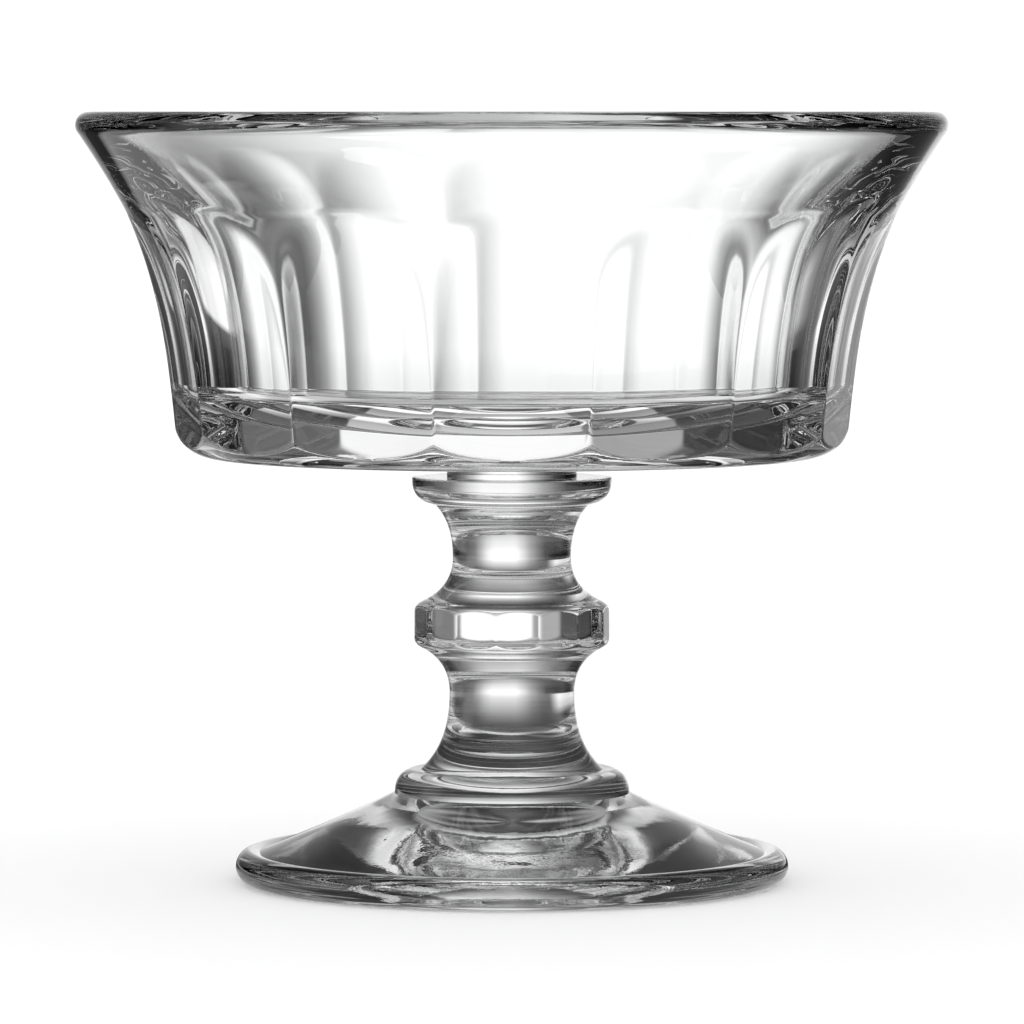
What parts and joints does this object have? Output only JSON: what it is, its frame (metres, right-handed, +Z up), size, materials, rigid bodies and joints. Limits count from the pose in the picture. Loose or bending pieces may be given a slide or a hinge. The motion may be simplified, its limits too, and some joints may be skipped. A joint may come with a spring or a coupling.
{
  "type": "ice cream coupe",
  "caption": "Footed ice cream coupe in clear pressed glass: flared bowl with flat arched panels, a short turned stem with a faceted knop, and a domed round foot.",
  "frame": {"origin": "centre of the ring that the foot stands on, at table level", "axes": "+Z up along the axis of the coupe, -Y towards the viewer, with one bowl panel centred on -Y"},
  "size_m": [0.12, 0.12, 0.1063],
  "materials": {
    "glass": "clear soda-lime pressed glass, fire-polished, faintly wavy"
  },
  "bodies": {
    "root": {"bowl": "glass", "stem": "glass", "foot": "glass"}
  },
  "joints": []
}
